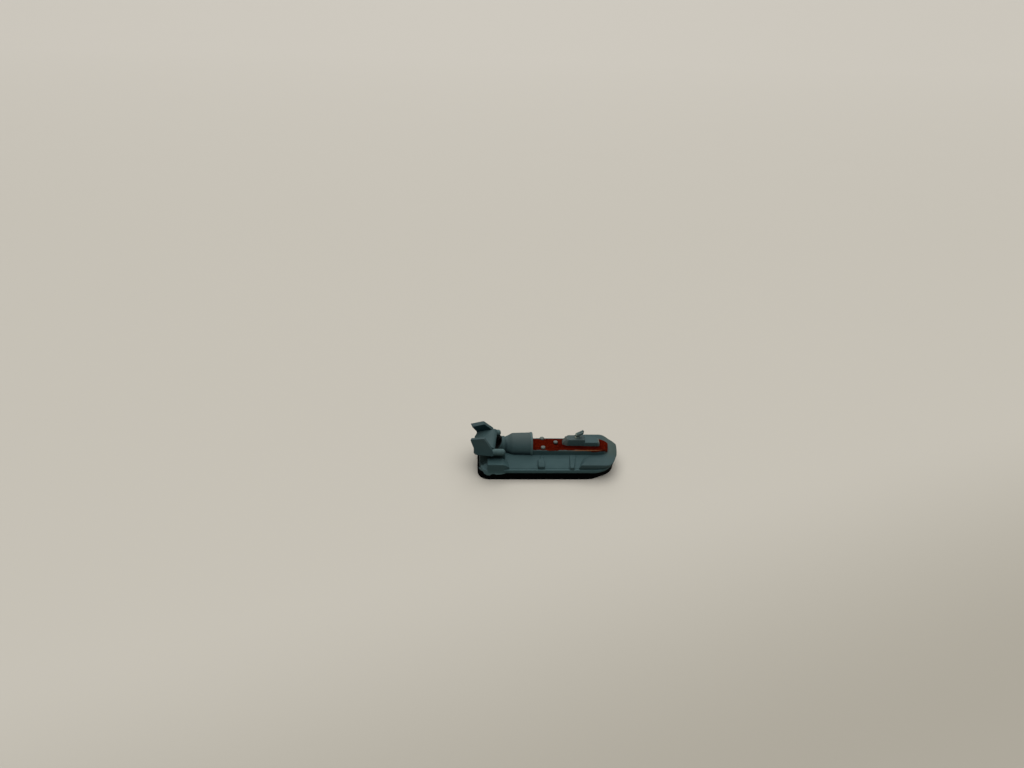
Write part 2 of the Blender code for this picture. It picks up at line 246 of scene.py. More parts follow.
def greyWithWearAndPaintedLight(title, tone=(1, 1, 1), wearAndLightTints=()):
    # Grey with other colours over parts of it: rubbed wear, and painted light and shade
    finish = Finish(title)
    colour, skin = greyBody(finish, tone)
    for tint, strength, grainShare, *edges in wearAndLightTints:
        mask = strength + skin["grain"] * grainShare
        for axis, way, *edge in edges:
            cover = getattr(finish, axis).past(*edge)
            mask = mask * (cover if way == "past" else 1 - cover)
        colour = finish.blend(mask, colour, tint)
    return greySkin(finish, colour, **skin)


# Each entry is wear, or painted light or shade: its colour, its strength and what the grain adds
# to that, then the edges it keeps to.
# An edge: the axis, whether the wash lies past it or before it, where it is, and its blur.
hullPaintedShadeAndLight = (
    # painted shade across the stern under the tail, a painted highlight on its rim corners, and
    # near-black painted shade between the engine and the tail
    ((0.016, 0.028, 0.027), 0.75, 0, ("x", "before", -19.3, 0.5), ("side", "before", 6.7, 0.4)),
    ((0.060, 0.102, 0.108), 0.6, 0.6, ("x", "before", -19.3, 0.5), ("side", "past", 6.7, 0.4),
     ("z", "before", 4.2, 0.3)),
    ((0.0008, 0.0010, 0.0010), 0.95, 0, ("x", "past", -20.5, 1.5), ("x", "before", -14.2, 0.5),
     ("side", "before", 5.35, 0.3), ("z", "past", 4.9, 0.4)),
)
bowPaintedLightAndTint = (
    # painted light: brighter low on the starboard side; also a little browner on top towards the
    # bow
    ((0.045, 0.085, 0.092), 0.4, 0, ("z", "before", 5.1, 0.2), ("y", "before", -7.5, 1.0)),
    ((0.038, 0.057, 0.048), 0.75, 0, ("x", "past", 20.8, 2.5), ("z", "past", 4.6, 0.4),
     ("y", "past", -4.0, 5.0)),
)
tailPaintedLightAndTint = (
    # the rear cabin has a painted highlight, paler round its rear end, and is duller on its roof
    ((0.085, 0.098, 0.090), 0.5, 0.5, ("x", "before", 7.5, 0.8)),
    ((0.042, 0.056, 0.054), 0.45, 0, ("z", "past", 9.9, 0.5)),
)
noseWashes = (
    # the front cabin's front edge has rubbed to a pale line
    ((0.12, 0.125, 0.10), 0.35, 0.5, ("x", "past", 17.95, 0.3), ("z", "past", 8.6, 0.8)),
)
planeWashes = (
    # the stabiliser dulls towards its rear edge
    ((0.028, 0.040, 0.037), 0.5, 0, ("x", "before", -21.8, 2.4)),
)
gunWashes = (
    # rubbed to a pale green at the rear of the gun and its foot
    ((0.175, 0.20, 0.155), 0.55, 0.6, ("x", "before", 10.55, 0.5)),
)


finSpec = {
    "inner": (0.08, 0.1),  # past the inner face
    # painted shade on the inner faces
    "innerShadeTint": (0.010, 0.030, 0.036),
}


def finPaint(title, place, sign, half, spec=finSpec):
    # Painted shade: the fins are darker on their inner faces
    finish = Finish(title)
    colour, skin = greyBody(finish, greySpec["finTone"])
    a, b, c, d = place.inverted()[1]
    across = (finish.x * a + finish.y * b + finish.z * c + d) * sign
    depth, blur = spec["inner"]
    colour = finish.blend(1 - across.past(depth - half, blur), colour, spec["innerShadeTint"])
    return greySkin(finish, colour, **skin)


drumSpec = {
    "top": (10.2, 2.6),
    "topTint": (0.046, 0.062, 0.060),
    "belly": (6.8, 1.1),
    "rear": (-12.9, 0.8),
    "rearBelow": (9.6, 1.0),
    "shadeTint": (0.008, 0.019, 0.025),
}


def drumPaint(spec=drumSpec):
    # Duller on top, with painted shade under its belly and round its rear end
    finish = Finish("drumPaint")
    colour, skin = greyBody(finish, greySpec["drumTone"])
    colour = finish.blend(finish.z.past(*spec["top"]) * 0.8, colour, spec["topTint"])
    belly = (1 - finish.z.past(*spec["belly"])) * 0.85
    rear = (1 - finish.x.past(*spec["rear"])) * (1 - finish.z.past(*spec["rearBelow"])) * 0.75
    colour = finish.blend(finish.sum("MAXIMUM", belly, rear), colour, spec["shadeTint"])
    return greySkin(finish, colour, **skin)


outletSpec = {
    # painted shade inside the outlet and on its end
    "black": (0.001, 0.001, 0.001),
    "axisHeight": 7.25,
    "outer": (2.3, 0.12),  # how far from the axis the grey outside starts
    "endPoint": (-14.4, 9.9),  # x and z of a point on the slanted end, and the way it faces
    "endFacing": (-0.827, 0.562),
    "end": (-0.1, 0.08),
}


def outletGreyAndShade(spec=outletSpec):
    # Painted shade: the exhaust outlet is black inside and on its slanted end, where the opening
    # lies in shadow
    finish = Finish("outletGreyAndShade")
    colour, skin = greyBody(finish)
    up = finish.z - spec["axisHeight"]
    away = finish.sum("SQRT", finish.y * finish.y + up * up)
    (endX, endZ), (facingX, facingZ) = spec["endPoint"], spec["endFacing"]
    end = (finish.x - endX) * facingX + (finish.z - endZ) * facingZ
    outside = away.past(*spec["outer"]) * (1 - end.past(*spec["end"]))
    colour = finish.blend(outside, spec["black"], colour)
    return greySkin(finish, colour, **skin)


paleSpec = {
    "low": (0.062, 0.080, 0.074),
    "high": (0.105, 0.125, 0.115),
    "smear": (0.06, 0.024, 0.015),  # of the deck's red
    "grain": (5.0, 3.0, 0.6),
    "grainEdge": (0.5, 0.4),
    "smears": (1.4, 4.0, 0.7, (4, 1, 9)),
    "smearEdge": (0.6, 0.12),
}


def palePaint(spec=paleSpec):
    finish = Finish("palePaint")
    grain = finish.noise(*spec["grain"])
    smear = finish.noise(*spec["smears"]).past(*spec["smearEdge"])
    colour = finish.blend(grain.past(*spec["grainEdge"]), spec["low"], spec["high"])
    colour = finish.blend(smear * 0.5, colour, spec["smear"])
    finish.set(Base_Color=colour, Roughness=0.55, Specular_IOR_Level=0.1)
    finish.set(Normal=finish.bump(grain, 0.5, 0.04))
    return finish.material


baseSpec = {
    "black": (0.0009, 0.0009, 0.0010),
    "dust": (0.004, 0.004, 0.0037),
    "grain": (3.0, 3.0, 0.6),
    "grainEdge": (0.62, 0.15),
    "dusty": (0.7, 5.0, 0.7, (2, 5, 0)),
    "dustyEdge": (0.62, 0.12),
    "run": (0.055, 0.088, 0.090),
    "ragged": (0.9, 3.0, 0.6, (3, 1, 6)),
    "runMiddle": (-18.6, 5.9),  # x and y that the run's foot is rounded about
    "runWithin": (3.72, 0.1),
    "runBehind": (-20.3, 0.8),
    "runBeside": (6.4, 0.6),
    "runAbove": (2.2, 0.1),
}


def basePlastic(spec=baseSpec):
    # Near-black plastic with a little dust in its grain; grey has run over its stern corners
    finish = Finish("basePlastic")
    grain = finish.noise(*spec["grain"])
    dust = finish.noise(*spec["dusty"]).past(*spec["dustyEdge"])
    dust = grain.past(*spec["grainEdge"]) * 0.4 + dust * 0.3
    colour = finish.blend(dust, spec["black"], spec["dust"])
    ragged = finish.noise(*spec["ragged"])
    middleX, middleY = spec["runMiddle"]
    aft, out = finish.x - middleX, finish.side - middleY
    reach = finish.sum("SQRT", aft * aft + out * out) + (ragged - 0.5) * 0.5
    corner = (1 - finish.x.past(*spec["runBehind"])) * finish.side.past(*spec["runBeside"])
    corner = corner * (1 - reach.past(*spec["runWithin"])) * finish.z.past(*spec["runAbove"])
    colour = finish.blend(corner, colour, spec["run"])
    finish.set(Base_Color=colour, Roughness=0.65 + grain * 0.2, Specular_IOR_Level=0.015)
    finish.set(Normal=finish.bump(grain, 0.4, 0.04))
    return finish.material


deckSpec = {
    "red": (0.048, 0.0034, 0.0009),
    "deepRed": (0.022, 0.0012, 0.0004),
    "brightRed": (0.082, 0.0085, 0.0022),
    "edge": (0.072, 0.095, 0.088),  # paler along the top of the walls and round their front
    "scuffed": (0.135, 0.058, 0.026),
    # painted shadow beside the middle stud
    "black": (0.0015, 0.0003, 0.0002),
    # where the red stops, raggedly: this far out, and further along two stretches
    "redEdge": (3.42, 0.1),
    "wander": (0.55, 3.0, 0.6, (1, 3, 2), (1, 0.3, 0.3)),
    "ragged": (2.4, 3.0, 0.6, (7, 1, 4)),
    "frontEdge": 17.8,  # forward of this the edge follows the narrowing deck
    "edgeHeight": 7.33,  # below this the red reaches less far out
    "outAhead": (14.2, 3.0),
    "outAlong": ((0.6, 1.2), (4.4, 1.2)),
    # the red itself
    "brush": (0.8, 4.0, 0.6, (0, 6, 3), (0.4, 1.8, 1.0)),
    "brushEdge": (0.51, 0.26),
    "flecks": (2.0, 4.0, 0.7, (9, 2, 3)),
    "fleckEdge": (0.54, 0.16),
    "plainAlong": ((3.0, 8.0), (19.2, 1.2)),
    "shadeBeside": ((1.9, 0.6), (2.7, 0.5)),  # painted shade: deeper red beside the cabin
    "shadeAhead": (6.0, 1.0),
    "shadeBehind": (18.6, 0.6),
    "shadedStud": (3.66, -0.42),  # painted shadow along the near side of the middle stud
    "studReach": (0.85, 0.3),
    # the pale line along the edge, and the pale parts of the walls
    "lineAt": 3.6,
    "lineWidth": (0.2, 0.14),
    "lineAlong": ((9.5, 2.0), (18.0, 2.4)),
    "upperAbove": (6.7, 0.3),
    "upperAhead": (4.0, 3.0),
    "upperBehind": (11.5, 2.0),
    "front": (19.9, 0.6),
}


def deckPaint(spec=deckSpec):
    # Red brushed on by hand: its starboard edge wanders and has rubbed to a pale line
    finish = Finish("deckPaint")
    grey, skin = greyBody(finish)
    wander, ragged = finish.noise(*spec["wander"]), finish.noise(*spec["ragged"])
    ahead = finish.sum("MAXIMUM", finish.x - spec["frontEdge"], 0.0)
    drop = finish.sum("MAXIMUM", spec["edgeHeight"] - ahead * ahead * 0.035 - finish.z, 0.0)
    reach = finish.sum("MAXIMUM", finish.y * -1, finish.y + 0.1) + ahead * 0.3 + drop * 0.8
    further = finish.x.past(*spec["outAhead"]) * 0.75
    further = further + finish.x.within(*spec["outAlong"]) * 0.35
    edge = reach + (wander - 0.5) * 0.8 + (ragged - 0.5) * 0.4 - further
    bare = edge.past(*spec["redEdge"])
    brush = finish.noise(*spec["brush"])
    fleck = finish.noise(*spec["flecks"]).past(*spec["fleckEdge"])
    ends = 1 - finish.x.within(*spec["plainAlong"])
    red = finish.blend(brush.past(*spec["brushEdge"]), spec["deepRed"], spec["red"])
    red = finish.blend(fleck * (0.2 + ends * 0.5), red, spec["brightRed"])
    # painted shade on the deck beside the cabin
    beside = finish.side.within(*spec["shadeBeside"])
    beside = beside * finish.x.past(*spec["shadeAhead"]) * (1 - finish.x.past(*spec["shadeBehind"]))
    red = finish.blend(beside * 0.6, red, spec["deepRed"])
    # painted shadow along the near side of the middle stud
    studX, studY = spec["shadedStud"]
    along, across = finish.x - studX, finish.y - studY
    away = finish.sum("SQRT", along * along + across * across)
    red = finish.blend((1 - away.past(*spec["studReach"])) * 0.85, red, spec["black"])
    line = (reach - spec["lineAt"] + (ragged - 0.5) * 0.3).size()
    beaten = finish.x.within(*spec["lineAlong"]) * 0.95 + 0.1
    scuff = (1 - line.past(*spec["lineWidth"])) * beaten * (0.3 + ragged)
    upper = finish.z.past(*spec["upperAbove"]) * finish.x.past(*spec["upperAhead"])
    upper = upper * (1 - finish.x.past(*spec["upperBehind"]))
    pale = finish.sum("MAXIMUM", upper * 0.35, finish.x.past(*spec["front"]) * 0.6)
    grey = finish.blend(pale, grey, spec["edge"])
    colour = finish.blend(bare, red, grey)
    colour = finish.blend(scuff, colour, spec["scuffed"])
    finish.set(Base_Color=colour, Roughness=0.75, Specular_IOR_Level=0.0)
    finish.set(Normal=finish.bump(brush + skin["grain"] * 0.4 - bare * 0.5, 0.5, 0.05))
    return finish.material


floorSpec = {
    "pale": (0.423, 0.402, 0.356),
    "far": (0.452, 0.430, 0.386),  # painted light: a little brighter in the distance
    "farPast": (700, 900),
    "shade": (0.312, 0.293, 0.250),  # painted shade: towards the near right corner the light falls off
    "fall": (0.34, -0.94),  # the way it falls off, along x and y
    "fallPast": (82.0, 96.0),
    "cloud": (0.012, 3.0, 0.5),
    "grain": (0.8, 2.0, 0.5),
}


def floorPaint(spec=floorSpec):
    finish = Finish("floorPaint")
    cloud, grain = finish.noise(*spec["cloud"]), finish.noise(*spec["grain"])
    along, across = spec["fall"]
    fall = (finish.x * along + finish.y * across).past(*spec["fallPast"])
    fall = fall * fall * (3 - fall * 2)
    # painted light in the distance and painted shade towards the near right
    colour = finish.blend(finish.y.past(*spec["farPast"]), spec["pale"], spec["far"])
    colour = finish.blend(fall + (cloud - 0.5) * 0.05, colour, spec["shade"])
    finish.set(Base_Color=colour, Roughness=0.75, Specular_IOR_Level=0.05)
    finish.set(Normal=finish.bump(grain, 0.1, 0.02))
    return finish.material


grey = greyWithWearAndPaintedLight("greyPaint")
# paler grey: partly rubbed wear, partly a painted highlight
wornAndHighlitGrey = greyWithWearAndPaintedLight("wornAndHighlitPaint", greySpec["wornAndHighlitTone"])
hullGrey = greyWithWearAndPaintedLight("hullPaint", greySpec["slopeTone"], hullPaintedShadeAndLight)
bowGrey = greyWithWearAndPaintedLight("bowPaint", greySpec["bowTone"], bowPaintedLightAndTint)
planeGrey = greyWithWearAndPaintedLight("planePaint", greySpec["planeTone"], planeWashes)
tailPaint = greyWithWearAndPaintedLight("cabinRearLitPaint", wearAndLightTints=tailPaintedLightAndTint)
nosePaint = greyWithWearAndPaintedLight("noseRubbed", wearAndLightTints=noseWashes)
gunFinish = greyWithWearAndPaintedLight("gunPaint", greySpec["gunTone"], gunWashes)
drumGrey = drumPaint()
outletPaint = outletGreyAndShade()
pale = palePaint()
black = basePlastic()
deckFinish = deckPaint()
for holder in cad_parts.values():
    holder.data.materials.clear()
    holder.data.materials.append(grey)
print("finishes mixed")


# Shapes: worked in millimetres and scaled once, when a piece is finished


def rounded(corners, place, segments):
    # A closed loop of points; a corner is (a, b, how far it is cut back)
    shape = bmesh.new()
    verts = [shape.verts.new((a, b, 0)) for a, b, cut in corners]
    shape.faces.new(verts)
    for vert, (a, b, cut) in zip(verts, corners):
        if cut:
            bmesh.ops.bevel(
                shape, geom=[vert], offset=cut, segments=segments,
                profile=0.5, affect="VERTICES", material=-1,
            )
    shape.faces.ensure_lookup_table()
    points = [place(vert.co.x, vert.co.y) for vert in shape.faces[0].verts]
    shape.free()
    return points


def bothSides(half):
    # Mirrors the starboard half of a plan, given from stern to bow
    return [(x, -y, cut) for x, y, cut in half] + [(x, y, cut) for x, y, cut in reversed(half)]


def loft(loops):
    # A closed body through loops of equally many points
    shape = bmesh.new()
    rings = []
    for points in loops:
        verts = [shape.verts.new(point) for point in points]
        rings.append([shape.edges.new(pair) for pair in zip(verts, verts[1:] + verts[:1])])
    for lower, upper in zip(rings, rings[1:]):
        bmesh.ops.bridge_loops(shape, edges=lower + upper)
    for end in (rings[0], rings[-1]):
        bmesh.ops.contextual_create(shape, geom=end)
    return shape


def level(half, height, segments):
    return rounded(bothSides(half), lambda x, y: Vector((x, y, height)), segments)


def turned(profile, steps, centre):
    # Spins (x, radius) points about a line along X through the centre
    shape = bmesh.new()
    verts = [shape.verts.new((x, radius, 0)) for x, radius in profile]
    edges = [shape.edges.new(pair) for pair in zip(verts, verts[1:])]
    bmesh.ops.spin(
        shape, geom=verts + edges, axis=(1, 0, 0), cent=(0, 0, 0),
        angle=math.tau, steps=steps, use_merge=True,
    )
    bmesh.ops.remove_doubles(shape, verts=shape.verts, dist=0.0005)
    bmesh.ops.translate(shape, vec=centre, verts=shape.verts)
    return shape


def soften(shape, width, segments=2, leastAngle=24.0):
    # Rounds the edges that turn by more than the least angle
    edges = [
        edge for edge in shape.edges
        if len(edge.link_faces) == 2 and edge.calc_face_angle(0.0) > math.radians(leastAngle)
    ]
    bmesh.ops.bevel(
        shape, geom=edges, offset=width, segments=segments, profile=0.5,
        affect="EDGES", material=-1, clamp_overlap=True,
    )
    return shape


def keepInside(shape, at, outward):
    # Cuts away what lies outward of a plane
    everything = shape.verts[:] + shape.edges[:] + shape.faces[:]
    bmesh.ops.bisect_plane(shape, geom=everything, plane_co=at, plane_no=outward, clear_outer=True)


def join(*shapes):
    # Several bodies in one mesh
    whole = bmesh.new()
    for shape in shapes:
        mesh = bpy.data.meshes.new("joining")
        shape.to_mesh(mesh)
        shape.free()
        whole.from_mesh(mesh)
        bpy.data.meshes.remove(mesh)
    return whole


def ramp(value, start, reach):
    # 0 up to the start and 1 from the start plus the reach
    return min(1.0, max(0.0, (value - start) / reach))


def addPiece(name, shape, paint, nodes, body="craft", smoothAngle=38.0):
    bmesh.ops.recalc_face_normals(shape, faces=shape.faces)
    bmesh.ops.scale(shape, vec=(mm, mm, mm), verts=shape.verts)
    mesh = bpy.data.meshes.new(name)
    shape.to_mesh(mesh)
    shape.free()
    mesh.shade_smooth()
    mesh.set_sharp_from_angle(angle=math.radians(smoothAngle))
    mesh.materials.append(paint)
    piece = bpy.data.objects.new(name, mesh)
    bpy.context.collection.objects.link(piece)
    normals = piece.modifiers.new("evenNormals", "WEIGHTED_NORMAL")
    normals.keep_sharp = True
    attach(piece, body)
    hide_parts(*nodes)


# Black base

baseShape = {
    # height, and the starboard half of the plan: (x, y, cut back at the corner)
    "levels": (
        (0.0, ((-22.6, 9.88, 4.1), (15.1, 9.88, 1.6), (22.0, 6.0, 2.5), (23.7, 1.1, 0.8))),
        (0.1, ((-22.66, 9.94, 4.1), (15.1, 9.94, 1.6), (22.1, 6.1, 2.5), (23.8, 1.1, 0.8))),
        (1.3, ((-22.72, 9.92, 4.1), (16.4, 9.9, 1.8), (22.0, 6.6, 2.3), (24.0, 1.2, 0.9))),
        (2.36, ((-22.76, 9.88, 4.1), (17.6, 9.86, 2.0), (21.8, 7.1, 2.0), (24.2, 1.5, 1.0))),
        (2.47, ((-22.7, 9.82, 4.1), (17.6, 9.8, 2.0), (21.7, 7.0, 2.0), (24.1, 1.5, 1.0))),
    ),
    # x and how low the ragged edge of the hull's moulding hangs there, to starboard
    "flash": (
        (-20.7, 2.3), (-20.3, 2.05), (-19.9, 1.85), (-19.4, 1.66), (-18.9, 1.6), (-18.5, 1.78),
        (-18.1, 2.1), (-17.7, 2.26), (-17.2, 2.2), (-16.7, 1.98), (-16.3, 1.86), (-15.9, 1.95),
        (-15.4, 1.9), (-15.0, 2.02), (-14.4, 2.2), (-13.6, 2.42),
    ),
    "flashThickness": 0.16,
    "flashSide": -9.84,
    "flashTop": 2.62,
    "flashLean": 0.1,  # how far its lower edge stands out
    "flashTurn": (-19.3, 0.16),  # aft of this it turns in with the base, ever faster
    "flashRounding": 0.05,
}


def addBase(spec):
    shape = loft([level(half, height, 8) for height, half in spec["levels"]])
    addPiece("baseTray", shape, black, ("skirt_base",))


def addFlash(spec):
    # A thin lip of the upper moulding, squeezed out over the base and never trimmed
    shape = bmesh.new()
    upper, lower = [], []
    turnFrom, turnIn = spec["flashTurn"]
    for x, low in spec["flash"]:
        y = spec["flashSide"] + turnIn * max(0.0, turnFrom - x) ** 2
        upper.append(shape.verts.new((x, y, spec["flashTop"])))
        lower.append(shape.verts.new((x, y - spec["flashLean"], low)))
    rows = [[shape.edges.new(pair) for pair in zip(row, row[1:])] for row in (upper, lower)]
    bmesh.ops.bridge_loops(shape, edges=rows[0] + rows[1])
    bmesh.ops.recalc_face_normals(shape, faces=shape.faces)
    bmesh.ops.solidify(shape, geom=shape.faces[:], thickness=spec["flashThickness"])
    soften(shape, spec["flashRounding"], 2, 50.0)
    addPiece("mouldFlash", shape, wornAndHighlitGrey, ("hull",), smoothAngle=60.0)


addBase(baseShape)
addFlash(baseShape)
print("base made")


# Grey hull: a low rim, a groove inside it, then side decks sloping up to the middle

hullShape = {
    "levels": (
        (2.49, ((-22.15, 5.6, 1.0), (-20.9, 9.78, 1.6),
               (18.0, 9.78, 2.0), (21.7, 7.0, 2.0), (24.1, 1.5, 1.0))),
        (2.9, ((-22.15, 5.5, 1.0), (-20.8, 9.82, 1.6),
               (18.6, 9.82, 1.6), (21.8, 7.2, 2.0), (24.2, 1.5, 1.0))),
        (3.4, ((-22.05, 5.2, 1.0), (-20.65, 9.78, 1.6),
               (18.8, 9.78, 1.5), (21.85, 7.2, 2.0), (24.2, 1.6, 1.0))),
        (3.54, ((-21.9, 5.0, 1.0), (-20.5, 9.66, 1.6),
               (18.8, 9.66, 1.5), (21.75, 7.1, 2.0), (24.1, 1.6, 1.0))),
        (3.57, ((-21.8, 4.9, 1.0), (-20.4, 9.48, 1.6),
               (18.7, 9.48, 1.5), (21.6, 7.0, 2.0), (23.9, 1.5, 1.0))),
        (3.55, ((-21.7, 4.8, 1.0), (-20.2, 9.16, 1.5),
               (18.5, 9.16, 1.6), (21.3, 6.8, 2.0), (23.6, 1.4, 1.0))),
        (3.42, ((-21.65, 4.7, 1.0), (-20.15, 9.04, 1.5),
               (18.4, 9.04, 1.7), (21.2, 6.7, 2.0), (23.5, 1.4, 1.0))),
        (3.46, ((-21.6, 4.6, 1.0), (-20.1, 8.84, 1.5),
               (18.3, 8.84, 1.8), (21.1, 6.6, 2.0), (23.4, 1.4, 1.0))),
        (3.76, ((-21.5, 4.4, 1.0), (-19.9, 8.64, 1.4),
               (18.1, 8.64, 1.9), (20.9, 6.4, 2.0), (23.3, 1.4, 1.0))),
        (4.35, ((-21.1, 3.8, 1.0), (-19.6, 7.1, 1.2),
               (17.6, 7.1, 1.5), (20.2, 5.3, 1.6), (22.4, 1.3, 0.9))),
        (5.55, ((-20.6, 2.8, 0.5), (-20.5, 4.05, 0.5),
               (16.0, 4.05, 0.8), (18.4, 3.0, 0.8), (20.0, 1.2, 0.6))),
        (5.72, ((-20.5, 2.6, 0.5), (-20.4, 3.75, 0.5),
               (15.8, 3.75, 0.7), (18.2, 2.8, 0.7), (19.8, 1.1, 0.5))),
    ),
    "slopeOuter": (8.64, 3.76),  # y and z where the slope starts
    "slopeInner": (3.85, 5.65),
    "grooveDrop": 0.1,  # how much lower a fitting's seat is out over the groove
    "sheerFrom": 17.5,  # forward of this the rim rises towards the bow
    "sheer": 0.3,
    "portShare": 1.0,  # the same to port
    "sheerHeights": (2.6, 3.7),
}
sheerSpec = {
    "along": 7.0,  # it has grown to its full amount this far forward
    "across": 6.0,  # and takes its share to port over this width
}


def addSheer(points, spec, rise):
    # Lifts (or lowers) what lies forward of the start, ever more towards the bow
    for point in points:
        port = ramp(0.5 + point.y / sheerSpec["across"], 0.0, 1.0)
        share = 1.0 + (spec["portShare"] - 1.0) * port
        ahead = max(0.0, point.x - spec["sheerFrom"]) / sheerSpec["along"]
        point.z += rise * share * ahead ** 2


def slopeHeight(y, spec=hullShape):
    (outer, low), (inner, high) = spec["slopeOuter"], spec["slopeInner"]
    share = max(0.0, (outer - abs(y)) / (outer - inner))
    return low + share * (high - low) - spec["grooveDrop"] * (abs(y) > outer)


def addHull(spec):
    loops = [level(half, height, 8) for height, half in spec["levels"]]
    lowest, highest = spec["sheerHeights"]
    for (height, half), points in zip(spec["levels"], loops):
        if lowest < height < highest:
            addSheer(points, spec, spec["sheer"])
    addPiece("hullShell", loft(loops), hullGrey, ("hull",))


addHull(hullShape)
print("hull made")


# Bow deck: a squarish raised block whose sides lean out over the rim towards the bow

bowShape = {
    "cuts": (0.4, 0.5, 1.3, 0.5, 0.5, 0.5, 0.7),
    "levels": (
        # height, then the corners from the stern: x, half width
        (3.45, ((11.1, 8.3), (10.9, 9.0), (18.3, 9.0), (20.3, 7.9),
               (21.9, 6.0), (23.2, 3.5), (23.7, 1.2))),
        (3.75, ((11.2, 8.4), (10.85, 9.16), (18.8, 9.16), (20.8, 8.0),
               (22.3, 6.0), (23.6, 3.5), (24.1, 1.2))),
        (4.6, ((11.9, 8.5), (11.0, 9.36), (20.2, 9.36), (21.7, 7.9),
               (23.05, 5.85), (24.25, 3.4), (24.6, 1.2))),
        (5.2, ((12.9, 8.5), (11.15, 9.46), (21.1, 9.46), (22.2, 7.85),
               (23.45, 5.75), (24.55, 3.3), (24.8, 1.2))),
        (5.34, ((13.7, 8.5), (11.25, 9.4), (21.05, 9.4), (22.15, 7.8),
               (23.4, 5.7), (24.5, 3.25), (24.75, 1.2))),
        (5.43, ((14.4, 8.4), (11.5, 9.22), (20.95, 9.22), (22.0, 7.7),
               (23.25, 5.6), (24.35, 3.2), (24.6, 1.2))),
        (5.6, ((15.2, 3.9), (14.9, 4.4), (19.6, 4.3), (20.6, 3.8),
               (21.6, 3.2), (22.6, 2.4), (23.1, 1.1))),
        (5.7, ((15.3, 2.9), (15.0, 3.4), (19.2, 3.3), (20.2, 3.0),
               (21.1, 2.6), (22.1, 1.9), (22.6, 1.0))),
    ),
    "skewFrom": 20.0,  # forward of this the outline runs aft to starboard
    "skew": (0.1, 0.16),  # for the starboard and the port half
    "skewHalf": (6.4, 2.4),  # it fades in from this half width inwards, over the second
    "skewAbove": (3.4, 1.2),
    "sheerFrom": 17.5,
    "sheer": -0.45,  # the deck falls a little towards the bow
    "portShare": 0.2,  # and less so to port
    "sheerAbove": (3.6, 1.0),
}


def addBowDeck(spec):
    loops = []
    halfWidth, fade = spec["skewHalf"]
    for height, corners in spec["levels"]:
        half = [(x, y, cut) for (x, y), cut in zip(corners, spec["cuts"])]
        points = level(half, height, 6)
        for point in points:
            if point.x > spec["skewFrom"]:
                share = ramp(halfWidth - abs(point.y), 0.0, fade)
                share *= ramp(height, *spec["skewAbove"])
                point.x += spec["skew"][point.y > 0] * point.y * share
        addSheer(points, spec, spec["sheer"] * ramp(height, *spec["sheerAbove"]))
        loops.append(points)
    addPiece("bowBlock", loft(loops), bowGrey, ("bow_deck",))


addBowDeck(bowShape)


# Raised middle deck: upright walls, a rounded edge and a crowned top, falling at its front

deckShape = {
    # x, half width at the top, height of the edge, rise of the crown, skew of the section
    "stations": (
        (-4.5, 3.72, 7.38, 0.68, 0.0),
        (4.0, 3.74, 7.38, 0.68, 0.0),
        (12.0, 3.72, 7.38, 0.66, 0.0),
        (17.0, 3.70, 7.36, 0.6, 0.0),
        (18.0, 3.66, 7.36, 0.56, 0.03),
        (19.3, 3.45, 7.29, 0.44, 0.07),
        (20.4, 3.0, 7.04, 0.28, 0.12),
        (21.3, 2.4, 6.7, 0.14, 0.15),
        (21.6, 2.15, 6.46, 0.06, 0.15),
    ),
    "foot": 5.5,
    "flare": 0.1,
    "edge": 0.26,  # radius of the rounded edge
    "edgeTurns": (30, 60, 85),  # degrees
    "crownShares": (0.75, 0.5, 0.25),
    "redReach": (-3.62, 3.55),
    "redFoot": 6.2,
    "redRear": -4.45,
    "redLift": 0.012,
    "redSkin": 0.28,
}


def crownLoop(spec, station, lift):
    # One cross-section, from the starboard foot over the crown to the port foot
    x, half, edgeHeight, crown, skew = station
    edge = spec["edge"]
    side = [(-half - spec["flare"], spec["foot"]), (-half, edgeHeight - edge)]
    side += [
        (-half + edge * (1 - math.cos(a)), edgeHeight - edge * (1 - math.sin(a)))
        for a in map(math.radians, spec["edgeTurns"])
    ]
    for share in spec["crownShares"]:
        side.append((-half * share, edgeHeight + crown * (1 - share ** 2)))
    top = [(0.0, edgeHeight + crown)]
    port = [(-y, z) for y, z in reversed(side)]
    return [Vector((x + skew * y, y, z + lift)) for y, z in side + top + port]


def addMiddle(spec):
    walls = loft([crownLoop(spec, station, 0.0) for station in spec["stations"]])
    addPiece("deckWalls", walls, deckFinish, ("superstructure",))
    skin = loft([crownLoop(spec, station, spec["redLift"]) for station in spec["stations"]])
    starboard, port = spec["redReach"]
    for at, outward in (
        ((0, 0, spec["redFoot"]), (0, 0, -1)),
        ((0, starboard, 0), (0, -1, 0)),
        ((0, port, 0), (0, 1, 0)),
        ((spec["redRear"], 0, 0), (-1, 0, 0)),
    ):
        keepInside(skin, at, outward)
    bmesh.ops.recalc_face_normals(skin, faces=skin.faces)
    bmesh.ops.solidify(skin, geom=skin.faces[:], thickness=spec["redSkin"])
    addPiece("deckRed", skin, deckFinish, ("red_deck",))


addMiddle(deckShape)
print("decks made")


# Cabin on the deck: a narrow rear part and a lower front part with a rounded nose

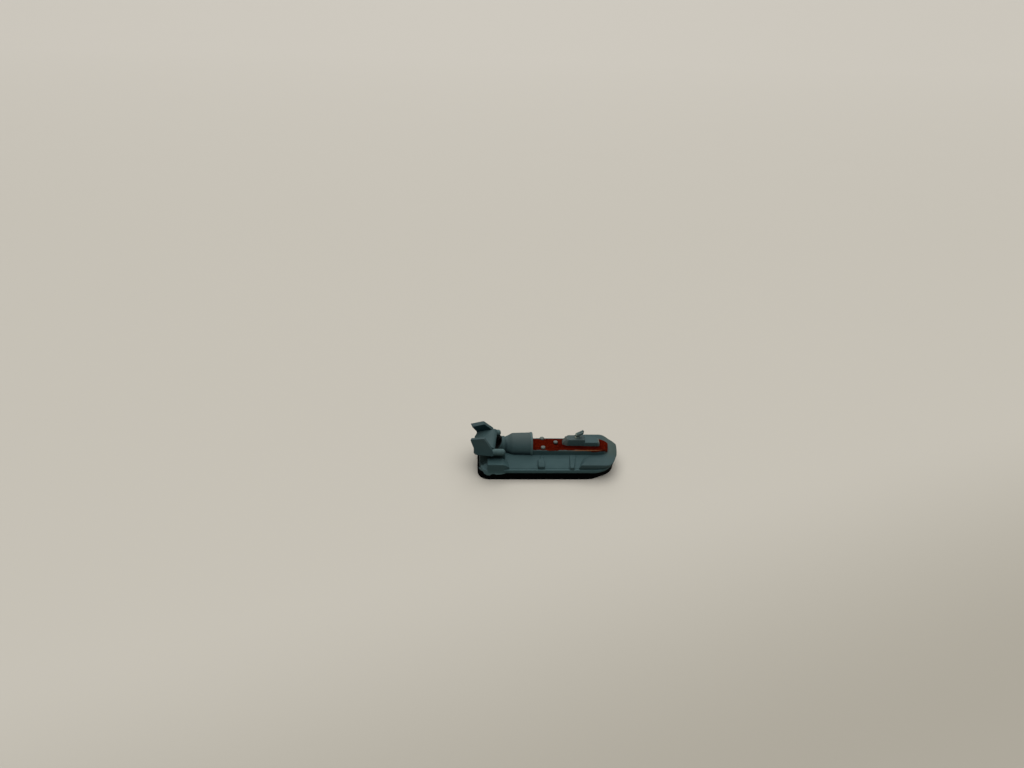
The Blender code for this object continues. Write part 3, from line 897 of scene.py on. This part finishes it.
cabinShape = {
    # z, then the half plan: (x, y, cut back at the corner)
    "rear": (
        (7.6, ((5.78, 0.92, 0.15), (7.3, 1.66, 0.15), (13.45, 1.66, 0.2))),
        (8.5, ((5.93, 0.9, 0.15), (7.32, 1.65, 0.15), (13.45, 1.65, 0.2))),
        (9.2, ((6.4, 0.88, 0.15), (7.4, 1.63, 0.15), (13.45, 1.63, 0.2))),
        (9.8, ((6.95, 0.86, 0.15), (7.62, 1.6, 0.15), (13.43, 1.6, 0.2))),
        (10.12, ((7.18, 0.84, 0.15), (7.9, 1.54, 0.15), (13.3, 1.54, 0.2))),
        (10.25, ((7.62, 0.76, 0.15), (8.1, 1.38, 0.15), (13.1, 1.38, 0.2))),
    ),
    "front": (
        (7.4, ((12.9, 1.78, 0.1), (18.6, 1.78, 1.0))),
        (8.4, ((12.9, 1.78, 0.1), (18.55, 1.78, 1.0))),
        (8.9, ((12.9, 1.76, 0.1), (18.4, 1.76, 1.0))),
        (9.2, ((12.9, 1.7, 0.1), (18.1, 1.7, 0.9))),
        (9.32, ((12.9, 1.54, 0.1), (17.75, 1.54, 0.8))),
    ),
}


def addCabin(part, node, paint, spec):
    loops = [level(half, height, 5) for height, half in spec[part]]
    addPiece("cabin" + part.title(), loft(loops), paint, (node,))


addCabin("rear", "cabin_rear", tailPaint, cabinShape)
addCabin("front", "cabin_front", nosePaint, cabinShape)


# Studs on the deck

studShape = {
    # node: (x, y, foot, top, radius)
    "post_port": (-0.75, 2.75, 7.5, 8.3, 0.84),
    "post_starboard": (-0.75, -2.6, 7.5, 8.22, 0.78),
    "post_middle": (3.66, 0.15, 7.8, 8.52, 0.76),
    "taper": 0.94,  # of the top's radius
    "rounding": 0.2,
}


def addStud(node, title, spec):
    x, y, foot, top, radius = spec[node]
    shape = bmesh.new()
    bmesh.ops.create_cone(
        shape, cap_ends=True, segments=32,
        radius1=radius, radius2=radius * spec["taper"], depth=top - foot,
    )
    bmesh.ops.translate(shape, vec=(x, y, (foot + top) / 2), verts=shape.verts)
    soften(shape, spec["rounding"], 3, 60.0)
    addPiece(title, shape, pale, (node,))


for place in ("port", "starboard", "middle"):
    addStud("post_" + place, "stud" + place.title(), studShape)
print("cabin and studs made")


# Engine: drum, intake lip, hub, pipe, flange and outlet on one line

engineShape = {
    "centre": (0, 0, 7.25),
    "drum": (
        # x, radius
        (-13.3, 0.0), (-13.3, 2.82), (-13.24, 2.94), (-12.85, 3.02), (-12.4, 3.24), (-11.9, 3.52),
        (-11.4, 3.8), (-11.1, 3.92), (-10.8, 3.98), (-8.0, 4.08), (-6.0, 4.13), (-4.8, 4.16),
        (-4.8, 3.0), (-8.0, 2.95), (-8.0, 0.0),
    ),
    "lip": (
        (-5.09, 3.02), (-5.09, 4.15), (-5.02, 4.26), (-4.9, 4.3), (-4.5, 4.3), (-4.34, 4.22),
        (-4.26, 4.06), (-4.26, 3.6), (-4.34, 3.35), (-4.5, 3.16), (-4.8, 3.05), (-5.09, 3.02),
    ),
    "hub": (
        (-7.95, 0.0), (-7.95, 1.15), (-7.2, 1.12), (-6.5, 1.0), (-5.9, 0.75), (-5.55, 0.4),
        (-5.45, 0.0),
    ),
    "pipe": (
        (-13.9, 0.0), (-13.9, 2.6), (-13.8, 2.72), (-13.3, 2.72), (-13.2, 2.6), (-13.2, 0.0),
    ),
    "flange": (
        (-14.6, 2.3), (-14.6, 2.84), (-14.5, 2.94), (-14.35, 2.98), (-13.8, 2.98), (-13.66, 2.93),
        (-13.58, 2.8), (-13.58, 2.3), (-14.6, 2.3),
    ),
    "outlet": (
        # open to the rear
        (-13.7, 0.0), (-14.0, 2.1), (-16.3, 2.2), (-16.3, 2.56), (-14.4, 2.72), (-13.7, 2.72),
        (-13.7, 0.0),
    ),
    "outletCut": ((-14.4, 0, 9.9), (-2.5, 0, 1.7)),  # the outlet's end is cut at a slant
    "foot": 5.5,  # everything is cut off here, inside the hull
    "vanes": 9,
    "vaneSize": (0.9, 0.34, 1.9),
    "vaneRounding": 0.1,
    "vanePlace": (-7.6, 0, 2.0),
    "vaneTurn": 28,  # degrees
}


def cutAt(shape, height):
    everything = shape.verts[:] + shape.edges[:] + shape.faces[:]
    cut = bmesh.ops.bisect_plane(
        shape, geom=everything, plane_co=(0, 0, height), plane_no=(0, 0, 1), clear_inner=True
    )
    rim = [item for item in cut["geom_cut"] if isinstance(item, bmesh.types.BMEdge)]
    bmesh.ops.edgeloop_fill(shape, edges=rim)
    return shape


def addTurned(title, part, node, steps, paint, spec):
    shape = cutAt(turned(spec[part], steps, spec["centre"]), spec["foot"])
    if part == "outlet":
        keepInside(shape, *spec["outletCut"])
        bmesh.ops.holes_fill(shape, edges=[edge for edge in shape.edges if edge.is_boundary])
    addPiece(title, shape, paint, (node,))


def addHub(spec):
    # The hub and the shallow vanes moulded round it
    hub = turned(spec["hub"], 32, spec["centre"])
    vanes = []
    for number in range(spec["vanes"]):
        vane = bmesh.new()
        bmesh.ops.create_cube(vane, size=1.0)
        bmesh.ops.scale(vane, vec=spec["vaneSize"], verts=vane.verts)
        soften(vane, spec["vaneRounding"])
        place = (
            Matrix.Translation(spec["centre"])
            @ Matrix.Rotation(math.tau * number / spec["vanes"], 4, "X")
            @ Matrix.Translation(spec["vanePlace"])
            @ Matrix.Rotation(math.radians(spec["vaneTurn"]), 4, "Z")
        )
        bmesh.ops.transform(vane, matrix=place, verts=vane.verts)
        vanes.append(vane)
    addPiece("intakeHub", join(hub, *vanes), grey, ("intake_hub",))


for title, part, node, steps, paint in (
    ("engineDrum", "drum", "engine_drum", 72, drumGrey),
    ("intakeLip", "lip", "intake_lip", 72, wornAndHighlitGrey),
    ("exhaustPipe", "pipe", "exhaust_pipe", 48, grey),
    ("exhaustFlange", "flange", "exhaust_flange", 48, grey),
    ("exhaustOutlet", "outlet", "exhaust_outlet", 48, outletPaint),
):
    addTurned(title, part, node, steps, paint, engineShape)
addHub(engineShape)
print("engine made")


# Tail: stabiliser, and on each side a pylon, a boom, a fin and a stern block

tailShape = {
    "stabiliser": (
        # x, low z, high z, half span, how far the section is turned
        (-23.75, 9.0, 9.12, 2.2, 0.0),
        (-23.35, 8.88, 9.22, 3.1, 0.0),
        (-22.9, 8.76, 9.34, 4.5, 0.0),
        (-21.6, 8.62, 9.66, 5.0, 0.02),
        (-20.2, 8.55, 9.88, 5.2, 0.05),
        (-18.4, 8.55, 10.06, 5.5, 0.08),
        (-17.4, 8.6, 9.96, 5.75, 0.1),
        (-16.9, 8.7, 9.66, 5.8, 0.1),
        (-16.5, 8.9, 9.2, 5.8, 0.1),
    ),
    # x, z, cut back at the corner, before the fin leans and turns
    "finPort": (
        (-25.3, 12.4, 0.3), (-23.0, 9.4, 0.3), (-23.0, 7.85, 0.2), (-22.2, 7.25, 0.25),
        (-17.6, 7.25, 0.1), (-17.2, 7.7, 0.2), (-17.2, 9.5, 0.3), (-20.75, 13.15, 0.35),
    ),
    "finStarboard": (
        (-25.3, 12.4, 0.3), (-24.0, 9.4, 0.3), (-24.0, 7.85, 0.2), (-23.2, 7.25, 0.25),
        (-17.6, 7.25, 0.1), (-17.2, 7.7, 0.2), (-17.95, 9.5, 0.3), (-20.75, 13.15, 0.35),
    ),
    "portTipCut": 0.3,  # how far the port fin's rear tip is cut back on its inner face
    "finThickness": 1.7,
    "finY": 6.2,
    "finPivot": (-18.5, 8.4),
    "lean": 13.4,
    "toe": 9.0,
    "rounding": 0.14,  # of the fins and the stabiliser
    "boomRadius": 1.1,
    "boomNose": 0.9,
    "boomPlace": (5.93, 8.2),
    "boomRear": -18.8,
    "pylonRear": -22.0,
    "pylonReach": (4.3, 5.4),
    "pylonHeights": (4.0, 7.5),
    "pylonCuts": (0.2, 0.3),  # at the rear and the front
    "pylonAhead": 0.1,  # of the boom's front
    "sponson": (
        # x, height of the top, outer y
        (-19.5, 5.62, 9.7),
        (-19.36, 5.78, 9.76),
        (-14.5, 5.78, 9.78),
        (-14.15, 5.66, 9.7),
        (-13.4, 5.1, 9.3),
        (-12.55, 4.5, 9.05),
        (-12.3, 4.2, 8.95),
    ),
    "sponsonInner": 5.95,
    "sponsonFoot": 2.95,
    "sponsonLeast": 3.6,  # height that a sagging outer edge keeps
    "sponsonCut": 0.2,
}


def addStabiliser(spec):
    loops = []
    for x, low, high, half, turn in spec["stabiliser"]:
        corners = ((-half, low), (half, low), (half, high), (-half, high))
        loops.append([Vector((x + turn * y, y, z)) for y, z in corners])
    shape = soften(loft(loops), spec["rounding"], 2, 50.0)
    addPiece("stabiliserPlane", shape, planeGrey, ("stabiliser",))


def addFin(side, sign, spec):
    half = spec["finThickness"] / 2
    loops = []
    for y in (-half, half):
        outline = list(spec["fin" + side.title()])
        if side == "port" and y < 0:
            x, z, cut = outline[0]
            outline[0] = (x + spec["portTipCut"], z, cut)
        loops.append(rounded(outline, lambda x, z: Vector((x, y, z)), 3))
    shape = soften(loft(loops), spec["rounding"], 3, 50.0)
    x, z = spec["finPivot"]
    pivot = Matrix.Translation((x, 0, z))
    place = (
        Matrix.Translation((0, sign * spec["finY"], 0))
        @ pivot
        @ Matrix.Rotation(sign * math.radians(spec["toe"]), 4, "Z")
        @ Matrix.Rotation(sign * math.radians(spec["lean"]), 4, "X")
        @ pivot.inverted()
    )
    bmesh.ops.transform(shape, matrix=place, verts=shape.verts)
    paint = finPaint("finPaint" + side.title(), place, sign, half)
    addPiece("fin" + side.title(), shape, paint, ("fin_" + side,))


def addBoom(side, sign, frontX, spec):
    radius, nose = spec["boomRadius"], spec["boomNose"]
    profile = [(spec["boomRear"], 0.0), (spec["boomRear"], radius)]
    for step in range(6):
        angle = math.radians(15) * step
        profile.append((frontX - nose + nose * math.sin(angle), radius * math.cos(angle)))
    profile.append((frontX, 0.0))
    y, z = spec["boomPlace"]
    shape = turned(profile, 40, (0, sign * y, z))
    addPiece("boom" + side.title(), shape, wornAndHighlitGrey, ("boom_" + side,))


def addPylon(side, sign, frontX, spec):
    inner, outer = (sign * y for y in spec["pylonReach"])
    rearX, (rearCut, frontCut) = spec["pylonRear"], spec["pylonCuts"]
    corners = (
        (rearX, inner, rearCut), (frontX, inner, frontCut),
        (frontX, outer, frontCut), (rearX, outer, rearCut),
    )
    loops = [
        rounded(corners, lambda x, y: Vector((x, y, height)), 3)
        for height in spec["pylonHeights"]
    ]
    addPiece("pylon" + side.title(), loft(loops), hullGrey, ("pylon_" + side,))


def addSponson(side, sign, sag, spec):
    loops = []
    inner, foot, cut = spec["sponsonInner"], spec["sponsonFoot"], spec["sponsonCut"]
    for x, top, outer in spec["sponson"]:
        outerTop = max(spec["sponsonLeast"], top - sag)
        corners = (
            (inner, foot, 0.0), (outer, foot, 0.0), (outer, outerTop, cut), (inner, top, cut)
        )
        loops.append(rounded(corners, lambda y, z: Vector((x, sign * y, z)), 3))
    addPiece("sponson" + side.title(), loft(loops), grey, ("sponson_" + side,))


# Pods and straps that lie down the side decks

fittingShape = {
    # y, middle x, half width, height over the deck
    "pod": (
        (4.1, -1.17, 0.5, 0.12), (4.3, -1.17, 0.52, 0.26), (5.3, -1.2, 0.54, 0.36),
        (5.6, -1.3, 0.66, 0.44), (5.95, -1.46, 1.0, 0.6), (6.3, -1.5, 1.12, 0.72),
        (7.6, -1.52, 1.16, 0.86), (8.5, -1.52, 1.15, 0.95), (8.85, -1.52, 1.06, 0.92),
        (9.02, -1.5, 0.88, 0.78),
    ),
    "strap": (
        (3.85, 9.16, 1.04, 0.12), (4.0, 9.16, 1.08, 0.22), (5.4, 9.06, 1.0, 0.36),
        (6.8, 8.92, 0.92, 0.52), (8.4, 8.72, 0.78, 0.76), (9.3, 8.62, 0.71, 0.86),
        (9.48, 8.6, 0.66, 0.84), (9.56, 8.6, 0.58, 0.74),
    ),
    "sunk": 0.5,  # how far they reach into the deck
    "cut": 0.32,  # of their top edges, and at most this share of their height or half width
    "cutShare": 0.6,
}


def addFitting(part, side, sign, share, spec):
    loops = []
    for y, centre, half, high in spec[part]:
        deck = slopeHeight(y)
        low, top = deck - spec["sunk"], deck + high * share
        cut = min(spec["cut"], high * share * spec["cutShare"], half * spec["cutShare"])
        rear, front = centre - half, centre + half
        corners = ((rear, low, 0.0), (front, low, 0.0), (front, top, cut), (rear, top, cut))
        loops.append(rounded(corners, lambda x, z: Vector((x, sign * y, z)), 4))
    title = part + side.title()
    addPiece(title, loft(loops), grey, ("side_" + part + "_" + side,))


addStabiliser(tailShape)
sides = (
    # name, sign of y, front of the boom, height of the pod, how far the stern block's top sags
    ("port", 1, -14.7, 0.45, 1.2),
    ("starboard", -1, -13.6, 1.0, 0.0),
)
for side, sign, boomFront, podShare, sag in sides:
    addPylon(side, sign, boomFront + tailShape["pylonAhead"], tailShape)
    addBoom(side, sign, boomFront, tailShape)
    addFin(side, sign, tailShape)
    addSponson(side, sign, sag, tailShape)
    addFitting("pod", side, sign, podShare, fittingShape)
    addFitting("strap", side, sign, 1.0, fittingShape)
print("tail and fittings made")


# Gun: a round foot on the roof, and twin barrels in one inclined block that turns on it

gunShape = {
    "axis": (10.95, 0.0),
    "roof": 10.12,
    # height over the roof, radius
    "foot": (
        (0.0, 0.0), (0.0, 0.95), (0.3, 0.92), (0.42, 0.8), (0.5, 0.5), (0.7, 0.45), (0.7, 0.0)
    ),
    "elevation": 29.5,  # degrees
    "start": (10.45, 10.97),  # x and z of the middle of the rear end
    "rounding": 0.17,
    "bars": (
        # middle y, start, end, half width, half height
        (0.13, 0.0, 1.55, 0.64, 0.5),
        (0.55, 0.1, 2.95, 0.37, 0.38),
        (-0.28, 0.12, 2.7, 0.37, 0.36),
    ),
}


def addGun(spec):
    x, y = spec["axis"]
    foot = turned(spec["foot"], 36, (0, 0, 0))
    place = Matrix.Translation((x, y, spec["roof"])) @ Matrix.Rotation(-math.pi / 2, 4, "Y")
    bmesh.ops.transform(foot, matrix=place, verts=foot.verts)
    addPiece("gunFoot", foot, gunFinish, ("gun_pintle",))
    parts = []
    for y, start, end, half, high in spec["bars"]:
        bar = bmesh.new()
        bmesh.ops.create_cube(bar, size=1.0)
        bmesh.ops.scale(bar, vec=(end - start, half * 2, high * 2), verts=bar.verts)
        bmesh.ops.translate(bar, vec=((start + end) / 2, y, 0), verts=bar.verts)
        parts.append(soften(bar, spec["rounding"], 3))
    shape = join(*parts)
    startX, startZ = spec["start"]
    place = Matrix.Translation((startX, 0, startZ)) @ Matrix.Rotation(
        -math.radians(spec["elevation"]), 4, "Y"
    )
    bmesh.ops.transform(shape, matrix=place, verts=shape.verts)
    addPiece("gunTwin", shape, gunFinish, ("gun",), body="gun")


addGun(gunShape)
print("gun made")


# Floor and light

lightSpec = {
    "lamps": (
        # name, strength, spread, tilt about x and y: a broad ceiling light and a window behind
        ("ceiling", 3.25, 92.0, (0.0, 4.0)),
        ("window", 1.15, 50.0, (-48.0, 0.0)),
    ),
    "lampColour": (1.0, 0.99, 0.975),
    "world": 0.06,
    "worldColour": (0.95, 0.97, 1.0, 1.0),
    "floorSize": 20.0,  # metres
}


def addFloor(spec):
    shape = bmesh.new()
    bmesh.ops.create_grid(shape, x_segments=1, y_segments=1, size=spec["floorSize"])
    mesh = bpy.data.meshes.new("floor")
    shape.to_mesh(mesh)
    shape.free()
    mesh.materials.append(floorPaint())
    floor = bpy.data.objects.new("floor", mesh)
    bpy.context.collection.objects.link(floor)


def addLight(spec):
    for title, strength, spread, tilt in spec["lamps"]:
        lamp = bpy.data.lights.new(title, "SUN")
        lamp.energy = strength
        lamp.angle = math.radians(spread)
        lamp.color = spec["lampColour"]
        holder = bpy.data.objects.new(title, lamp)
        holder.rotation_euler = [math.radians(angle) for angle in (*tilt, 0.0)]
        bpy.context.collection.objects.link(holder)
    world = bpy.data.worlds.new("room")
    bpy.context.scene.world = world
    world.use_nodes = True
    back = world.node_tree.nodes["Background"]
    back.inputs["Color"].default_value = spec["worldColour"]
    back.inputs["Strength"].default_value = spec["world"]


addFloor(lightSpec)
addLight(lightSpec)
bpy.context.scene.view_settings.view_transform = "Standard"
print("floor and light set")
